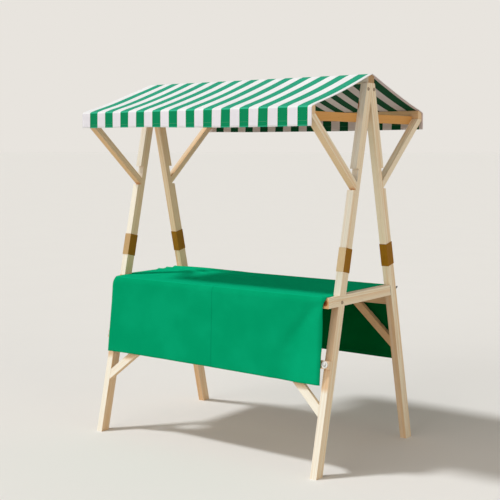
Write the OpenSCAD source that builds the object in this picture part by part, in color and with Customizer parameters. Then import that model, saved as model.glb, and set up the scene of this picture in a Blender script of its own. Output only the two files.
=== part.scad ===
// Wooden market stall: two leaning A-frames, a draped counter and a striped ridge canopy.
// Millimetres. X runs along the stall, the customer's side is -Y, Z is up from the ground.

/* [Overall] */
// Length over the outer faces of the two end frames
stall_len = 1504; // [1300:2:1900]
// Spread of the feet, front to back, over their outer edges
foot_spread = 978; // [900:2:1100]
// Height of the level leg tops, where the ridge rail sits
seat_z = 1945; // [1880:1:2050]
// Width over the pair of leg tops at that height
apex_w = 74; // [68:1:90]

/* [Frame timbers] */
// Width of a leg, across its length
leg_w = 56; // [50:1:66]
// Thickness of the legs, the upper braces and the counter bearers
frame_t = 38; // [34:1:50]
// Width of an upper brace
brace_w = 34; // [28:1:42]
// Distance of an upper brace's top edge above the inner lower corner of the eaves rail
brace_top = 2; // [1:1:14]
// Angle of an upper brace above the level
brace_angle = 41; // [39:0.5:46]
// Depth of the notch in a leg that takes the foot of the upper brace
notch_depth = 24; // [14:1:30]
// Height of the notch's shoulder above the point where the brace's top edge meets the leg
notch_rise = 51; // [30:1:80]

/* [Roof timbers] */
// Slope of the canopy
roof_pitch = 17.9; // [16:0.1:20]
// Width of the ridge rail
ridge_rail_w = 60; // [44:1:68]
// Height of the ridge rail at its peak
ridge_rail_h = 43.5; // [36:0.5:60]
// Width of an eaves rail
eaves_rail_w = 40; // [34:1:50]
// Height of an eaves rail on its outer side
eaves_rail_h = 36; // [30:1:48]
// Height of a tie beam
tie_h = 44; // [34:1:60]
// Thickness of a tie beam
tie_t = 28; // [20:1:36]
// How far a tie beam stands above the underside of the eaves rails
tie_lap = 15; // [8:1:24]

/* [Counter] */
// Height of the counter's top face
counter_z = 886; // [820:1:920]
// Distance of the counter's front edge from the middle of the stall
counter_front = 386; // [360:1:410]
// Distance of the counter's back edge from the middle of the stall
counter_back = 240; // [226:1:248]
// Radius of the counter's front corners, seen from above
corner_r = 60; // [30:1:90]
// Height of a counter bearer
bearer_h = 54; // [44:1:60]
// Thickness of the counter boards
board_t = 18; // [14:1:24]
// Number of counter boards, front to back
board_count = 6; // [4:1:8]
// Gap between two counter boards
board_gap = 3; // [2:0.5:6]
// Side of the square cleat that carries the boards
cleat_w = 30; // [20:1:34]
// Width of a batten under the boards
batten_w = 45; // [30:1:70]
// Thickness of a batten
batten_t = 20; // [12:1:26]
// Distance of each batten from the middle of the stall
batten_x = 240; // [120:5:420]

/* [Rails and knee braces] */
// Height of the lower edge of the back rail
back_rail_z = 777; // [740:1:790]
// Height of the back rail's board
back_rail_h = 88; // [60:1:90]
// Thickness of the back rail and the knee braces
rail_t = 26; // [18:1:32]
// Height of the lower edge of the front rail
front_rail_z = 527; // [480:1:600]
// Height of the front rail's board
front_rail_h = 41; // [36:1:60]
// Thickness of the front rail
front_rail_t = 24; // [16:1:24]
// Width of a knee brace
knee_w = 44; // [30:1:54]
// Height where the middle of a front knee brace meets its leg
front_knee_z = 323; // [290:1:340]
// Angle of a front knee brace above the level
front_knee_angle = 41; // [38:0.5:46]
// Height where the middle of a back knee brace meets its leg
back_knee_z = 545; // [520:1:570]
// Angle of a back knee brace above the level
back_knee_angle = 48; // [44:0.5:52]

/* [Cloth and bands] */
// Canopy, front to back over its valances
canopy_depth = 1116; // [1080:2:1160]
// Height of the valance below the fold over the eaves
valance_h = 88; // [60:1:120]
// How far the canopy reaches past the end frames
canopy_over = 7; // [0:1:30]
// Thickness of the canopy and the tablecloth, hems included
sheet_t = 3; // [2:0.5:5]
// Inner radius of the folds over the eaves and the counter's edges
fold_r = 10; // [6:1:14]
// Height of the tablecloth's front and back hems
hem_z = 457; // [420:1:500]
// Distance of the tablecloth's ends from the inner faces of the end frames
cloth_inset = 6; // [3:1:20]
// Height of the lower edge of the bands around the legs
band_z = 1003; // [940:1:1060]
// Length of a band along its leg
band_len = 122; // [80:1:160]
// Thickness of a band
band_t = 2; // [1:0.5:4]

/* [Fasteners] */
// Diameter of the shanks of the bolts and screws
bolt_d = 8; // [6:1:10]
// Diameter of a bolt's domed head
head_d = 18; // [14:1:22]
// Height of a bolt's domed head
head_h = 6; // [4:0.5:8]
// Diameter of the washers on the front rail
washer_d = 36; // [28:1:36]
// Thickness of the washers
washer_t = 3; // [2:0.5:4]
// Distance of an apex bolt from the middle of the frame
apex_bolt_y = 28; // [22:1:30]
// Depth of an apex bolt below the leg tops
apex_bolt_drop = 31; // [26:1:40]
// Height of the wing bolts and the bearer screws above the underside of the bearers
bearer_bolt_rise = 18; // [16:1:26]
// How far a wing bolt or a bearer screw reaches into the last timber
screw_grip = 34; // [20:1:36]
// Span of a wing nut over its two wings
wing_span = 50; // [40:1:60]
// Height of the wings' round tabs above the washer
wing_rise = 20; // [14:1:26]
// Turn of the wing nuts around their bolts
wing_turn = 60; // [0:5:90]
// Thickness of the plate inside each apex
plate_t = 4; // [2:0.5:6]
// Distance of the plate's edges from the edges of the legs
plate_rim = 4; // [2:1:6]

/* [Hidden] */
$fn = 48;
pine = [0.87, 0.77, 0.6];
green = [0.05, 0.6, 0.4];
roof_green = [0.35, 0.75, 0.6];
brown = [0.55, 0.36, 0.14];
steel = [0.72, 0.72, 0.7];
// Clearance between two solid pieces, and between cloth and what it lies on
fit = 0.2;
soft_gap = 0.3;
// Clearance around a shank in its hole
bore_gap = 0.3;
// Length that is longer than any timber, for cutting planes
reach = 3000;

frame_out = stall_len / 2;
frame_in = frame_out - frame_t;

// The legs: outer edge, lean, and the height where the pair meets
slope = (foot_spread - apex_w) / 2 / seat_z;
lean = atan(slope);
leg_run = leg_w / cos(lean);
meet_z = (foot_spread / 2 - leg_run) / slope;
function edge_y(z) = foot_spread / 2 - slope * z;
function inner_y(z) = edge_y(z) - leg_run;

// The roof surface: its ridge, and its height at a distance y from the ridge, some way below it
ridge_z = seat_z + ridge_rail_h + (sheet_t + soft_gap) / cos(roof_pitch);
function roof_z(y, below) = ridge_z - tan(roof_pitch) * abs(y) - below / cos(roof_pitch);

// The fold over the eaves and the rail inside it
eaves_r = fold_r + sheet_t;
eaves_cy = canopy_depth / 2 - eaves_r;
eaves_cz = roof_z(eaves_cy, eaves_r);
rail_out_y = canopy_depth / 2 - sheet_t - soft_gap;
rail_in_y = rail_out_y - eaves_rail_w;
rail_low_z = eaves_cz + fold_r - eaves_rail_h;
valance_z = eaves_cz + eaves_r - valance_h;

// The tie beams and the upper braces
tie_z = rail_low_z + tie_lap - tie_h;
notch_run = notch_depth / cos(lean);
brace_top_at_rail = rail_low_z + brace_top / cos(brace_angle);
brace_slope = tan(brace_angle);
brace_leg_z = (brace_top_at_rail - brace_slope * (rail_in_y - foot_spread / 2)) / (1 + brace_slope * slope);
shoulder_z = brace_leg_z + notch_rise;
brace_low_at_rail = rail_low_z + (brace_top - brace_w) / cos(brace_angle);
floor_behind_rail = rail_in_y - foot_spread / 2 + notch_run;
notch_low = (brace_low_at_rail - brace_slope * floor_behind_rail) / (1 + brace_slope * slope);

// The counter
bearer_z = counter_z - bearer_h;
board_low = counter_z - board_t;
counter_depth = counter_front + counter_back;
board_w = (counter_depth - (board_count - 1) * board_gap) / board_count;
board_half = frame_in - 1;
nosing_r = fold_r - soft_gap;
bolt_z = bearer_z + bearer_bolt_rise;

plate_low = seat_z - 2 * apex_bolt_drop - plate_rim;

// Lengths along the leaning faces
back_rail_s = back_rail_z / cos(lean);
front_rail_s = front_rail_z / cos(lean);
front_bolt_s = front_rail_s + front_rail_h / 2;
bolt_x = frame_out - frame_t / 2 - 2;

// Every leg-side piece is drawn at the right end and the back, then mirrored to its corner
module corner(end, side) {
    mirror([end < 0 ? 1 : 0, 0, 0])
        mirror([0, side < 0 ? 1 : 0, 0])
            children();
}

// A flat timber in the plane of an end frame, drawn as (y, z), from x0 outwards
module frame_plate(x0, t) {
    translate([x0, 0, 0])
        rotate([90, 0, 90])
            linear_extrude(t)
                children();
}

// The leaning outer face of the back legs: x along the stall, z up the leg, y out of the face
module leaning_face() {
    translate([0, foot_spread / 2, 0])
        rotate([lean, 0, 0])
            children();
}

// A flat timber on the leaning face, drawn as (x, length up the leg), from y0 inwards
module leaning_plate(y0, t) {
    leaning_face()
        translate([0, y0, 0])
            rotate([90, 0, 0])
                linear_extrude(t)
                    children();
}

// Sheets: a path given as points, thickened to its left by t
function unit(v) = v / norm(v);
function left_of(p, i) = let (d = unit(p[i + 1] - p[i])) [-d[1], d[0]];
function mitre(p, i) = let (
    a = left_of(p, max(i - 1, 0)),
    b = left_of(p, min(i, len(p) - 2)),
    m = unit(a + b)
) m / (m * a);
function sheet(p, t) = concat(p, [for (i = [len(p) - 1:-1:0]) p[i] + mitre(p, i) * t]);
function arc(cy, cz, r, a0, a1, n) = [
    for (i = [0:n]) let (a = a0 + (a1 - a0) * i / n) [cy + r * cos(a), cz + r * sin(a)]
];

// Legs
module leg_outline() {
    polygon([
        [edge_y(0), 0], [edge_y(seat_z), seat_z], [0, seat_z],
        [0, meet_z], [inner_y(0), 0]
    ]);
}

// Everything on the frame's side of the notch's floor
module notch_core() {
    polygon([
        [edge_y(0) - notch_run, 0], [edge_y(seat_z) - notch_run, seat_z],
        [-reach, seat_z], [-reach, 0]
    ]);
}

// A band along the upper brace, from low to high across it
module brace_band(low, high) {
    translate([rail_in_y, rail_low_z])
        rotate(brace_angle)
            translate([-reach / 2, low])
                square([reach, high - low]);
}

// The notch: between two level shoulders, the lower one where the brace's lower edge meets the floor
module brace_notch() {
    difference() {
        translate([0, notch_low])
            square([foot_spread, shoulder_z - notch_low]);
        notch_core();
    }
}

module shank_bore() {
    cylinder(d = bolt_d + 2 * bore_gap, h = reach, center = true);
}

module leg(end, side) {
    color(pine)
        corner(end, side)
            difference() {
                frame_plate(frame_in, frame_t)
                    difference() {
                        leg_outline();
                        brace_notch();
                    }
                translate([0, apex_bolt_y, seat_z - apex_bolt_drop])
                    rotate([0, 90, 0])
                        shank_bore();
                if (side < 0) {
                    bearer_housing();
                    front_rail_bore();
                    bearer_screw_bore();
                } else {
                    translate([bolt_x, 0, bolt_z])
                        rotate([90, 0, 0])
                            shank_bore();
                }
            }
}

// The front leg's half of the joint with the bearer, which passes on its outer side
module bearer_housing() {
    translate([frame_out - frame_t / 2 - fit, 0, bearer_z - fit])
        cube([frame_t, foot_spread, bearer_h + 2 * fit]);
}

module front_rail_bore() {
    leaning_face()
        translate([bolt_x, 0, front_bolt_s])
            rotate([90, 0, 0])
                shank_bore();
}

// Where a bearer screw stands, half way across the front leg
module at_bearer_screw() {
    translate([frame_out, inner_y(bolt_z) + leg_run / 2, bolt_z])
        rotate([0, 90, 0])
            children();
}

module bearer_screw_bore() {
    at_bearer_screw()
        translate([0, 0, -screw_grip - bore_gap])
            cylinder(d = bolt_d + 2 * bore_gap, h = frame_t);
}

// Roof timbers
module ridge_rail() {
    half_w = ridge_rail_w / 2;
    below = sheet_t + soft_gap;
    color(pine)
        frame_plate(-frame_out, stall_len)
            polygon([
                [-half_w, seat_z], [half_w, seat_z], [half_w, roof_z(half_w, below)],
                [0, roof_z(0, below)], [-half_w, roof_z(half_w, below)]
            ]);
}

// The eaves rail's top is planed to the roof's slope and its outer edge is rounded for the cloth
module eaves_rail(side) {
    below = sheet_t + soft_gap;
    color(pine)
        corner(1, side)
            frame_plate(-frame_out, stall_len)
                polygon(concat(
                    [[rail_in_y, rail_low_z], [rail_out_y, rail_low_z]],
                    arc(eaves_cy, eaves_cz, fold_r - soft_gap, 0, 90 - roof_pitch, 8),
                    [[rail_in_y, roof_z(rail_in_y, below)]]
                ));
}

module tie_beam(end) {
    half = rail_in_y - fit;
    color(pine)
        corner(end, 1)
            frame_plate(frame_in - tie_t, tie_t)
                translate([-half, tie_z])
                    square([2 * half, tie_h]);
}

// The foot is cut to the notch's floor, and the head is notched under the eaves rail
module upper_brace(end, side) {
    color(pine)
        corner(end, side)
            frame_plate(frame_in, frame_t)
                difference() {
                    brace_band(brace_top - brace_w, brace_top);
                    notch_core();
                    translate([-reach, -reach])
                        square([reach, 2 * reach]);
                    translate([rail_in_y - fit, rail_low_z])
                        square([reach, reach]);
                    translate([rail_out_y, 0])
                        square([reach, reach]);
                    translate([0, roof_z(rail_in_y, sheet_t + soft_gap)])
                        square([reach, reach]);
                }
}

// Counter
// The right bearer runs on past the front leg to the counter's edge, and the left one ends on the leg
module counter_bearer(end) {
    front_low = end > 0 ? counter_front : edge_y(bearer_z);
    front_high = end > 0 ? counter_front : edge_y(counter_z);
    color(pine)
        corner(end, 1)
            difference() {
                frame_plate(frame_in, frame_t)
                    polygon([
                        [-front_low, bearer_z], [inner_y(bearer_z), bearer_z],
                        [inner_y(counter_z), counter_z], [-front_high, counter_z]
                    ]);
                mirror([0, 1, 0])
                    frame_plate(frame_in - fit, frame_t / 2 + fit)
                        polygon([
                            [edge_y(0) + fit, 0], [edge_y(seat_z) + fit, seat_z],
                            [inner_y(seat_z) - fit, seat_z], [inner_y(0) - fit, 0]
                        ]);
                translate([bolt_x, inner_y(bolt_z) - screw_grip - bore_gap, bolt_z])
                    rotate([-90, 0, 0])
                        cylinder(d = bolt_d + 2 * bore_gap, h = leg_w + screw_grip);
                mirror([0, 1, 0])
                    bearer_screw_bore();
            }
}

module counter_cleat(end) {
    color(pine)
        corner(end, 1)
            translate([frame_in - cleat_w, corner_r - counter_front, board_low - cleat_w])
                cube([cleat_w, counter_depth - corner_r - board_t, cleat_w]);
}

// The boards' section, with the outer edges rounded under the cloth's folds
module board_section() {
    difference() {
        polygon(concat(
            [[counter_back, board_low]],
            arc(counter_back - nosing_r, counter_z - nosing_r, nosing_r, 0, 90, 5),
            arc(nosing_r - counter_front, counter_z - nosing_r, nosing_r, 90, 180, 5),
            [[-counter_front, board_low]]
        ));
        for (i = [1:board_count - 1])
            translate([i * (board_w + board_gap) - board_gap - counter_front, 0])
                square([board_gap, counter_z + 1]);
    }
}

// The counter seen from above, with rounded front corners
module counter_plan() {
    round_x = board_half - corner_r;
    round_y = corner_r - counter_front;
    polygon(concat(
        [[board_half, counter_back + 1], [-board_half, counter_back + 1]],
        arc(-round_x, round_y, corner_r, 180, 270, 8),
        arc(round_x, round_y, corner_r, 270, 360, 8)
    ));
}

module counter_boards() {
    color(pine)
        intersection() {
            frame_plate(-board_half, 2 * board_half)
                board_section();
            linear_extrude(counter_z + 1)
                counter_plan();
        }
}

module counter_batten(end) {
    color(pine)
        corner(end, 1)
            translate([batten_x - batten_w / 2, -counter_front + board_t, board_low - batten_t])
                cube([batten_w, counter_depth - 2 * board_t, batten_t]);
}

// Rails
module back_rail() {
    color(pine)
        leaning_plate(0, rail_t)
            translate([-frame_in + fit, back_rail_s])
                square([2 * (frame_in - fit), back_rail_h]);
}

module front_rail() {
    color(pine)
        corner(1, -1)
            difference() {
                leaning_plate(front_rail_t + fit, front_rail_t)
                    translate([-frame_out, front_rail_s])
                        square([stall_len, front_rail_h]);
                for (end = [0, 1])
                    mirror([end, 0, 0])
                        front_rail_bore();
            }
}

// A knee brace runs from its leg's inner face up to the height top_s along the leaning face
module knee_brace(end, side, knee_z, angle, top_s) {
    color(pine)
        corner(end, side)
            leaning_plate(0, rail_t)
                intersection() {
                    translate([frame_in - fit, knee_z / cos(lean)])
                        rotate(180 - angle)
                            translate([-knee_w, -knee_w / 2])
                                square([reach, knee_w]);
                    square([frame_in - fit, top_s]);
                }
}

// The front pair laps behind the front rail, and the back pair stops under the back rail
module front_knee(end) {
    knee_brace(end, -1, front_knee_z, front_knee_angle, front_rail_s + front_rail_h);
}

module back_knee(end) {
    knee_brace(end, 1, back_knee_z, back_knee_angle, back_rail_s - fit);
}

// Bands
module leg_band(end, side) {
    wall = band_t + fit;
    color(brown)
        corner(end, side)
            leaning_face()
                translate([0, 0, band_z / cos(lean)])
                    difference() {
                        translate([frame_in - wall, -leg_w - wall, 0])
                            cube([frame_t + 2 * wall, leg_w + 2 * wall, band_len]);
                        translate([frame_in - fit, -leg_w - fit, -1])
                            cube([frame_t + 2 * fit, leg_w + 2 * fit, band_len + 2]);
                    }
}

// Fasteners
module domed_head() {
    cylinder(d = head_d, h = head_h / 3);
    translate([0, 0, head_h / 3])
        cylinder(d1 = head_d, d2 = head_d / 2, h = head_h * 2 / 3);
}

module hex_nut() {
    cylinder(d = head_d, h = head_h, $fn = 6);
}

// The plate inside each apex holds the pair of legs together
module apex_plate(end) {
    high = seat_z - plate_rim;
    color(steel)
        corner(end, 1)
            difference() {
                frame_plate(frame_in - plate_t, plate_t)
                    polygon([
                        [-edge_y(plate_low) + plate_rim, plate_low], [edge_y(plate_low) - plate_rim, plate_low],
                        [edge_y(high) - plate_rim, high], [-edge_y(high) + plate_rim, high]
                    ]);
                for (side = [-1, 1])
                    translate([frame_in, side * apex_bolt_y, seat_z - apex_bolt_drop])
                        rotate([0, 90, 0])
                            shank_bore();
            }
}

module apex_bolts() {
    length = frame_t + plate_t;
    color(steel)
        for (end = [-1, 1], side = [-1, 1])
            corner(end, side)
                translate([frame_out, apex_bolt_y, seat_z - apex_bolt_drop])
                    rotate([0, 90, 0]) {
                        domed_head();
                        translate([0, 0, -length])
                            cylinder(d = bolt_d, h = length);
                        translate([0, 0, -length - head_h])
                            hex_nut();
                    }
}

module bearer_screws() {
    color(steel)
        for (end = [-1, 1])
            corner(end, -1)
                at_bearer_screw() {
                    domed_head();
                    translate([0, 0, -screw_grip])
                        cylinder(d = bolt_d, h = screw_grip);
                }
}

// One wing: a round tab on an arm that widens into it
module wing() {
    tab_r = wing_span / 6;
    tab_x = wing_span / 2 - tab_r;
    rotate([90, 0, 0])
        translate([0, 0, -washer_t / 2])
            linear_extrude(washer_t) {
                translate([tab_x, wing_rise])
                    circle(r = tab_r);
                polygon([
                    [0, 0], [head_d / 2, 0], [tab_x + tab_r, wing_rise],
                    [tab_x - tab_r, wing_rise], [0, head_h]
                ]);
            }
}

// A point on the level axis of a wing bolt, with z pointing out of the back leg
module on_wing_bolt(y) {
    translate([bolt_x, y, bolt_z])
        rotate([-90, 0, 0])
            children();
}

// A wing bolt goes level through the back leg into the bearer, over a wedge washer
module wing_bolts() {
    seat_y = edge_y(bolt_z - head_d / 2) + washer_t;
    tip_y = inner_y(bolt_z) - screw_grip;
    color(steel)
        for (end = [-1, 1])
            corner(end, 1) {
                on_wing_bolt(tip_y)
                    cylinder(d = bolt_d, h = seat_y + wing_rise - tip_y);
                difference() {
                    on_wing_bolt(seat_y - head_d)
                        cylinder(d = head_d * 1.2, h = head_d);
                    leaning_face()
                        translate([0, fit - reach, 0])
                            cube(reach);
                }
                on_wing_bolt(seat_y)
                    cylinder(d1 = head_d, d2 = head_d * 0.7, h = head_h * 1.5);
                for (turn = [0, 180])
                    on_wing_bolt(seat_y)
                        rotate([0, 0, turn - wing_turn])
                            wing();
            }
}

module rail_bolts() {
    outer = front_rail_t + fit;
    inner = -leg_w;
    color(steel)
        for (end = [-1, 1])
            corner(end, -1)
                leaning_face()
                    translate([bolt_x, 0, front_bolt_s])
                        rotate([-90, 0, 0]) {
                            translate([0, 0, outer])
                                cylinder(d = washer_d, h = washer_t);
                            translate([0, 0, outer + washer_t])
                                domed_head();
                            translate([0, 0, inner - head_h - fit])
                                cylinder(d = bolt_d, h = outer - inner + head_h + fit);
                            translate([0, 0, inner - head_h - fit])
                                hex_nut();
                        }
}

// Cloth
module canopy() {
    front = concat(
        [[-canopy_depth / 2, valance_z]],
        arc(-eaves_cy, eaves_cz, eaves_r, 180, 90 + roof_pitch, 6)
    );
    back = concat(
        arc(eaves_cy, eaves_cz, eaves_r, 90 - roof_pitch, 0, 6),
        [[canopy_depth / 2, valance_z]]
    );
    color(roof_green)
        frame_plate(-frame_out - canopy_over, stall_len + 2 * canopy_over)
            polygon(sheet(concat(front, [[0, ridge_z]], back), -sheet_t));
}

// The cloth lies on the boards, hangs straight at the front and lies on the rail and knees behind
module tablecloth() {
    fold_z = counter_z - nosing_r;
    back_fold_y = counter_back - nosing_r;
    front_y = max(
        counter_front + soft_gap,
        edge_y(front_rail_z) + (front_rail_t + fit) / cos(lean) + soft_gap
    );
    skin = soft_gap / cos(lean);
    rail_top = (back_rail_s + back_rail_h) * cos(lean) + skin;
    rail_y = edge_y(rail_top) + 2 * skin;
    to_rail = [rail_y - back_fold_y, rail_top - fold_z];
    leave_angle = atan2(to_rail[1], to_rail[0]) + acos(fold_r / norm(to_rail));
    knee_foot = back_knee_z - knee_w;
    knee_y = edge_y(knee_foot) + skin;
    color(green)
        frame_plate(-frame_in + cloth_inset, 2 * (frame_in - cloth_inset))
            polygon(sheet(concat(
                [[-front_y, hem_z], [-front_y, front_rail_z + front_rail_h]],
                arc(nosing_r - counter_front, fold_z, fold_r, 180, 90, 5),
                arc(back_fold_y, fold_z, fold_r, 90, leave_angle, 2),
                [[rail_y, rail_top], [knee_y, knee_foot], [knee_y, hem_z]]
            ), sheet_t));
}

leg(-1, -1);  // leg_front_left
leg(1, -1);  // leg_front_right
leg(-1, 1);  // leg_back_left
leg(1, 1);  // leg_back_right
ridge_rail();
eaves_rail(-1);  // eaves_rail_front
eaves_rail(1);  // eaves_rail_back
tie_beam(-1);  // tie_beam_left
tie_beam(1);  // tie_beam_right
upper_brace(-1, -1);  // upper_brace_front_left
upper_brace(1, -1);  // upper_brace_front_right
upper_brace(-1, 1);  // upper_brace_back_left
upper_brace(1, 1);  // upper_brace_back_right
counter_bearer(-1);  // counter_bearer_left
counter_bearer(1);  // counter_bearer_right
counter_cleat(-1);  // counter_cleat_left
counter_cleat(1);  // counter_cleat_right
counter_boards();
counter_batten(-1);  // counter_batten_left
counter_batten(1);  // counter_batten_right
back_rail();
front_rail();
front_knee(-1);  // knee_brace_front_left
front_knee(1);  // knee_brace_front_right
back_knee(-1);  // knee_brace_back_left
back_knee(1);  // knee_brace_back_right
leg_band(-1, -1);  // leg_band_front_left
leg_band(1, -1);  // leg_band_front_right
leg_band(-1, 1);  // leg_band_back_left
leg_band(1, 1);  // leg_band_back_right
apex_plate(-1);  // apex_plate_left
apex_plate(1);  // apex_plate_right
apex_bolts();
bearer_screws();
wing_bolts();
rail_bolts();
canopy();
tablecloth();
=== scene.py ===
import math

import bpy
import numpy as np
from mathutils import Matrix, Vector, noise


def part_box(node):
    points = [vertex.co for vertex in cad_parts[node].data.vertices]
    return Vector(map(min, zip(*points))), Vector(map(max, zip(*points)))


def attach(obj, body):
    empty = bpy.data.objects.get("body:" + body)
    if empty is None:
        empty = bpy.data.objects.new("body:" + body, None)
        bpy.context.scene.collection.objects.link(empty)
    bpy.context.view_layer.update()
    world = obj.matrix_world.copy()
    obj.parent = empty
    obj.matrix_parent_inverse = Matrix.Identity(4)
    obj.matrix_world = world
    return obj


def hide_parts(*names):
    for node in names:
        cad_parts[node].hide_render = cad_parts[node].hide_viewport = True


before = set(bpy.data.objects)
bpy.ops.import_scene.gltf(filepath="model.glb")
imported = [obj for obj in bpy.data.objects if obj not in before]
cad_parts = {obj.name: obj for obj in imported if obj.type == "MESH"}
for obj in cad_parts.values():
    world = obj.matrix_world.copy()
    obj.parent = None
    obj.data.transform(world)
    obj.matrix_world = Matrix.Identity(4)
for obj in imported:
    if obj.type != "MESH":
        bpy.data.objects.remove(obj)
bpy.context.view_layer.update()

# Wooden market stall. Metres, X along the stall, the customer's side is -Y, Z up from the ground.

# Camera: the photograph's, found from the edges of the stall
CAMERA_PLACE = (3.4278, -4.6036, 1.600)
CAMERA_TILT = -5.48
CAMERA_TURN = 36.81
CAMERA_LENS = 74.12

# Frame: the legs' half width at their tops, their level depth, the angles of the braces above the level, and
# how far edges are rounded
APEX_HALF = 0.037
LEG_DEPTH = 0.0575
BRACE_ANGLE = math.radians(41)
FRONT_KNEE_ANGLE = math.radians(41)
BACK_KNEE_ANGLE = math.radians(48)
TIMBER_ROUND = 0.0016
HARDWARE_ROUND = 0.0004

# Canopy: the cloth, its fold over the eaves, its stripes and hems
CANOPY_T = 0.0012
CANOPY_INSET = 0.0005
CANOPY_FOLD_R = 0.013
ROOF_PITCH = math.radians(17.9)
RIDGE_R = 0.005
CANOPY_HEM = 0.016
CANOPY_HEM_EXTRA = 0.0011
STRIPE_PITCH = 0.1149
STRIPE_START = -0.700
STRIPE_GREEN = 0.0575
STRIPE_BLUR = 0.0006

# The roof sags and ripples between its bearings on the ridge and the eaves
RIDGE_BEARING = 0.034
EAVES_BEARING = 0.050
ROOF_SAG = 0.006
ROOF_RIPPLE = 0.0022

# The valances wave and ripple within VALANCE_HANG of their hems, and sag by these amounts at places X
VALANCE_HANG = 0.075
VALANCE_WAVE = 0.0045
VALANCE_RIPPLE = 0.0018
FRONT_SAG = ((-0.70, 0.0), (-0.27, 0.001), (-0.06, 0.006), (0.25, 0.010), (0.55, 0.010), (0.76, 0.009))
BACK_SAG = ((-0.70, 0.006), (-0.40, 0.010), (0.20, 0.011), (0.76, 0.007))

# Pitch of the canopy's columns, and of the rows along its line
CANOPY_COLUMN = 0.012
CANOPY_ROW = 0.009

# Tablecloth: its thickness, the plane of its front drop, and its soft fold over the counter's front edge,
# given as depth and height, which widens at the counter's round corner and tightens over the bearer's end.
# Points within DROP_REACH of the drop's plane move with the drop.
# A value named BORDER, here and below, is a pair: where a form begins, and where it is full.
CLOTH_T = 0.0011
CLOTH_GAP = 0.0008
CLOTH_HEM = 0.014
CLOTH_HEM_EXTRA = 0.00088
DROP_Y = -0.3985
DROP_REACH = 0.012
FOLD_MAIN = (0.020, 0.034)
FOLD_TIGHT = (0.010, 0.020)
TIGHT_BORDER = (0.690, 0.712)
FOLD_FOOT = 0.862
CORNER_R = 0.060
BOARD_ROUND = 0.005
BACK_FOLD_R = 0.011
BACK_INSET = 0.0015
BACK_WAVE = 0.008
BACK_HEM = 0.05

# The cloth's left and right edges: X at heights up the front drop, then X at places Y across the counter
LEFT_DROP = ((0.457, -0.732), (0.517, -0.728), (0.635, -0.717), (0.752, -0.706), (0.853, -0.699))
RIGHT_DROP = (
    (0.450, 0.706), (0.628, 0.716), (0.811, 0.722), (0.841, 0.7235), (0.863, 0.730), (0.879, 0.7415),
)
LEFT_TOP = (
    (-0.376, -0.701), (-0.310, -0.708), (-0.216, -0.7125),
    (-0.208, -0.744), (0.196, -0.744), (0.204, -0.7125),
)
RIGHT_TOP = ((-0.376, 0.7425), (-0.318, 0.735), (-0.302, 0.730), (-0.290, 0.7125))

# A shallow trough runs down and inwards from the drop's right corner: its middle X at each height
TROUGH = ((0.457, 0.455), (0.522, 0.471), (0.602, 0.495), (0.684, 0.550), (0.756, 0.610), (0.840, 0.673))
TROUGH_DEPTH = 0.0085
TROUGH_WIDTH = 0.040
TROUGH_BORDER = (0.885, 0.825)

# Lower down the trough loses a share of its depth
SHALLOW_SHARE = 0.65
SHALLOW_BORDER = (0.70, 0.50)

# The drop's other forms: waves and ripples, a bulge right of the trough, a right edge that is pressed back,
# and a left corner that flares out towards the hem
HANG_BORDER = (0.862, 0.742)
DROP_WAVE = 0.0028
DROP_RIPPLE = 0.0012
BULGE_DEPTH = 0.0060
BULGE_WIDTH = 0.050
PRESSED_DEPTH = 0.005
PRESSED_WIDTH = 0.030
PRESSED_BORDER = (0.60, 0.66)
FLARE_DEPTH = 0.012
FLARE_WIDTH = 0.20
FLARE_HEIGHT = 0.405

# The front rail holds the drop off: how far back it can go at the rail, and how much further above the rail
RAIL_GAP = 0.0042
ABOVE_RAIL_GAP = 0.0055
RAIL_BORDER = (0.57, 0.66)

# A pressed crease runs down the drop, with painted shade along it: its X is the first value plus the second
# times the height
CREASE = (0.0075, 0.0234)
CREASE_DEPTH = 0.0013
CREASE_WIDTH = 0.0045

# The drop has a painted highlight right of a line. Its X is the first value, plus the second times the height
# above the hem, plus the third times that height squared.
HIGHLIGHT_LINE = (0.475, 0.0976, 1.231)

# The side hem, which carries painted shade: its X is the first value plus the second times the height
SIDE_HEM = (0.6885, 0.045)

# Folds pushed up at the counter's back left, each with its place Y, width and height, and faint ripples. Both
# end inside the counter's front and back edges.
TOP_FOLDS = ((0.190, 0.014, 0.013), (0.118, 0.012, 0.012), (0.046, 0.012, 0.008))
TOP_RIPPLE = 0.0016
FOLD_WANDER = 0.014
LEFT_BORDER = (0.15, -0.45)
FRONT_BORDER = (-0.36, -0.30)
BACK_BORDER = (0.235, 0.205)

# How far the front hem hangs below its level, at places along the counter
HEM_SAG = ((-0.70, 0.0), (0.0, 0.003), (0.40, 0.008), (0.71, 0.011))
SAG_BORDER = (0.80, 0.46)

# Steps of the tablecloth's line: up the drop, round the front fold, over the counter, and down the back to
# the back rail, to the top of the hem and to its end
DROP_STEPS = 43
FOLD_STEPS = 14
TOP_STEPS = 117
BACK_STEPS = (5, 36, 5)

# Its columns, as shares of its width: their pitch, and the edge in which they stand closer
CLOTH_COLUMN = 0.0072
CLOTH_EDGE = 0.010


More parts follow.
